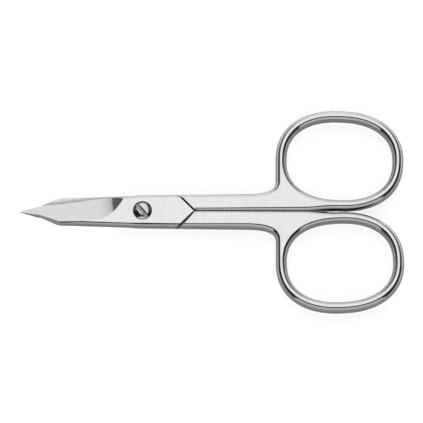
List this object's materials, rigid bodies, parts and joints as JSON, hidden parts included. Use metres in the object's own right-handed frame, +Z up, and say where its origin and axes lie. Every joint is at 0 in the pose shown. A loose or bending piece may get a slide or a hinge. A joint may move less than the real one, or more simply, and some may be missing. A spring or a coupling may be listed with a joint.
{
  "type": "nail scissors",
  "caption": "Small nail scissors with straight blades, tapered tips, a lap joint on a slotted screw and two oval finger rings, lying closed.",
  "frame": {"origin": "below the middle of the closed scissors, on the surface they lie on", "axes": "+X from the tips to the finger rings, along the scissors; +Y toward the ring of the upper half; +Z up from the surface, along the pivot screw"},
  "size_m": [0.09, 0.0488, 0.0036],
  "materials": {
    "polished_steel": "fine-ground and polished stainless steel",
    "turned_steel": "turned stainless steel screw"
  },
  "bodies": {
    "far_half": {"far_half": "polished_steel", "pivot_screw": "turned_steel"},
    "near_half": {"near_half": "polished_steel"}
  },
  "joints": [
    {"name": "opening", "type": "hinge", "parent": "far_half", "child": "near_half", "pos_m": [-0.0161, 0, 0.0017], "axis": [0, 0, 1], "range_deg": [0, 110]}
  ]
}
